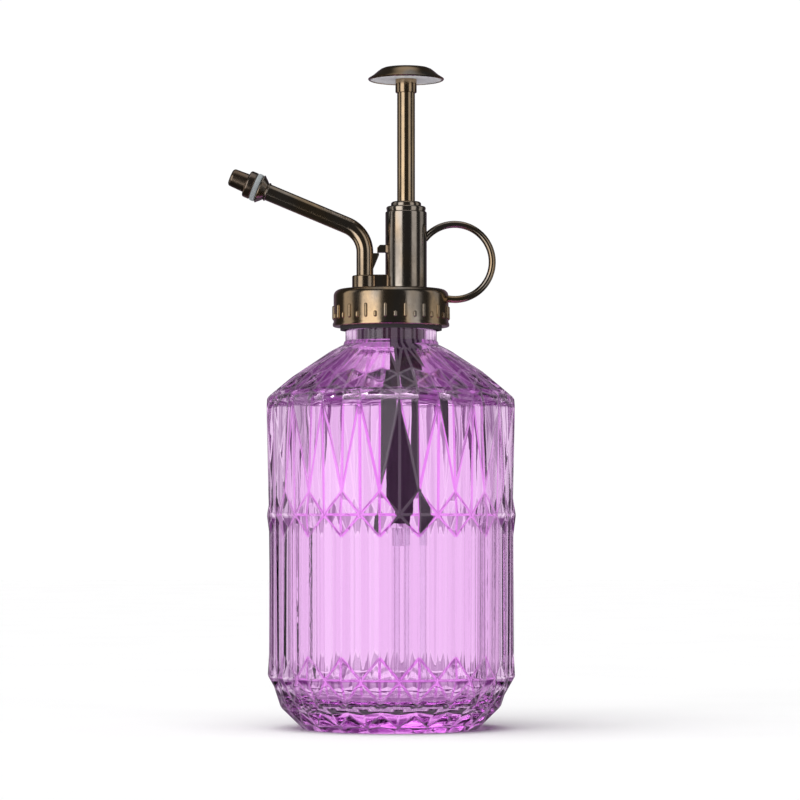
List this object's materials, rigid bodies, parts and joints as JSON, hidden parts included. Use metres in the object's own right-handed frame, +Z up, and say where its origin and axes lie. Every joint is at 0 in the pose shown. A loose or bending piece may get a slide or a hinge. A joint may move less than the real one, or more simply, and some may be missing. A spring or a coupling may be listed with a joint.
{
  "type": "hand mister",
  "caption": "Pressed-glass bottle with a screw-on spray pump: thumb button on a long rod, slanted spout with a screw nozzle, and a finger ring.",
  "frame": {"origin": "centre of the flat foot that the bottle stands on", "axes": "+Z up along the bottle's axis, -X towards the spout, +X towards the finger ring"},
  "size_m": [0.0899, 0.0778, 0.207],
  "materials": {
    "purple_glass": "clear purple pressed glass",
    "bronze_plating": "antique bronze plating over moulded plastic",
    "dark_plastic": "dark moulded plastic",
    "clear_plastic": "clear flexible tube",
    "pale_plastic": "pale grey moulded plastic",
    "seal_rubber": "black seal rubber",
    "grey_rubber": "grey seal rubber",
    "spring_steel": "stainless spring wire",
    "steel_ball": "polished stainless ball"
  },
  "bodies": {
    "bottle": {"bottle": "purple_glass"},
    "gasket": {"cap_gasket": "seal_rubber"},
    "head": {"collar": "bronze_plating", "thread_liner": "dark_plastic", "pump_body": "bronze_plating", "finger_ring": "bronze_plating", "barrel_gland": "bronze_plating", "gland_seal": "seal_rubber", "spout_pipe": "bronze_plating", "spout_oring": "seal_rubber", "nozzle_holder": "bronze_plating", "swirl_insert": "dark_plastic", "pump_cylinder": "dark_plastic", "pump_jacket": "dark_plastic", "valve_body": "dark_plastic", "dip_tube": "clear_plastic", "return_spring": "spring_steel"},
    "plunger": {"plunger_rod": "bronze_plating", "rod_stop": "dark_plastic", "piston": "dark_plastic", "piston_seal": "seal_rubber", "button": "bronze_plating", "button_backing": "pale_plastic"},
    "nozzle_ring": {"nozzle_seal": "grey_rubber"},
    "nozzle": {"nozzle_cap": "bronze_plating"},
    "inlet_ball": {"inlet_ball": "steel_ball"},
    "outlet_ball": {"outlet_ball": "steel_ball"}
  },
  "joints": [
    {"name": "cap_lift", "type": "slide", "parent": "bottle", "child": "gasket", "axis": [0, 0, 1], "range_m": [0, 0.00451]},
    {"name": "cap_turn", "type": "hinge", "parent": "gasket", "child": "head", "pos_m": [0, 0, 0.1339], "axis": [0, 0, 1], "range_deg": [0, 450]},
    {"name": "plunger_press", "type": "slide", "parent": "head", "child": "plunger", "axis": [0, 0, -1], "range_m": [0, 0.033], "stiffness_N_per_m": 250, "springref_m": -0.01, "deforming": ["return_spring"]},
    {"name": "nozzle_advance", "type": "slide", "parent": "head", "child": "nozzle_ring", "axis": [-0.9219, 0, 0.3875], "range_m": [0, 0.0008]},
    {"name": "nozzle_turn", "type": "hinge", "parent": "nozzle_ring", "child": "nozzle", "pos_m": [-0.0082, 0, 0.1548], "axis": [-0.9219, 0, 0.3875], "range_deg": [0, 360.5]},
    {"name": "inlet_ball_lift", "type": "slide", "parent": "head", "child": "inlet_ball", "axis": [0, 0, 1], "range_m": [0, 0.001]},
    {"name": "outlet_ball_lift", "type": "slide", "parent": "head", "child": "outlet_ball", "axis": [0, 0, 1], "range_m": [0, 0.0006]}
  ],
  "couplings": [
    {"joint": "cap_lift", "follows": "cap_turn", "m_per_rad": 0.00057296},
    {"joint": "nozzle_turn", "follows": "nozzle_advance", "rad_per_m": 7854}
  ]
}
